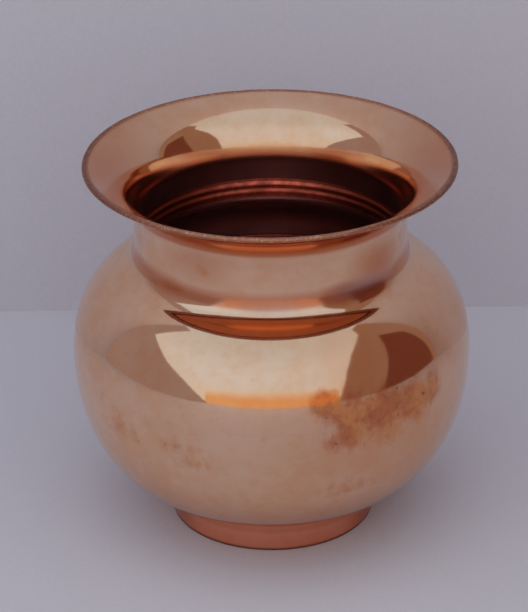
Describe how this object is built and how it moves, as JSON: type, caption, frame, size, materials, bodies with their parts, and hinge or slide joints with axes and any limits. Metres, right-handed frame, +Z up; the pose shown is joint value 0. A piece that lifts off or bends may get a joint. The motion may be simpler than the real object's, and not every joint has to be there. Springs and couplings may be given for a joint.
{
  "type": "lota",
  "caption": "Round-bellied copper water pot with a short neck, a wide flared lip and a low foot ring, for holding and pouring water.",
  "frame": {"origin": "centre of the foot ring's standing face", "axes": "+Z up along the pot's axis; X and Y are any two directions across it, because the pot is round"},
  "size_m": [0.11, 0.11, 0.1058],
  "materials": {
    "copper": "polished copper sheet",
    "brazing_metal": "as brazed",
    "solder": "dull soft solder"
  },
  "bodies": {
    "root": {"lower_bowl": "copper", "shoulder": "copper", "neck": "copper", "foot_ring": "copper", "belly_braze": "brazing_metal", "neck_braze": "brazing_metal", "foot_solder": "solder"}
  },
  "joints": []
}
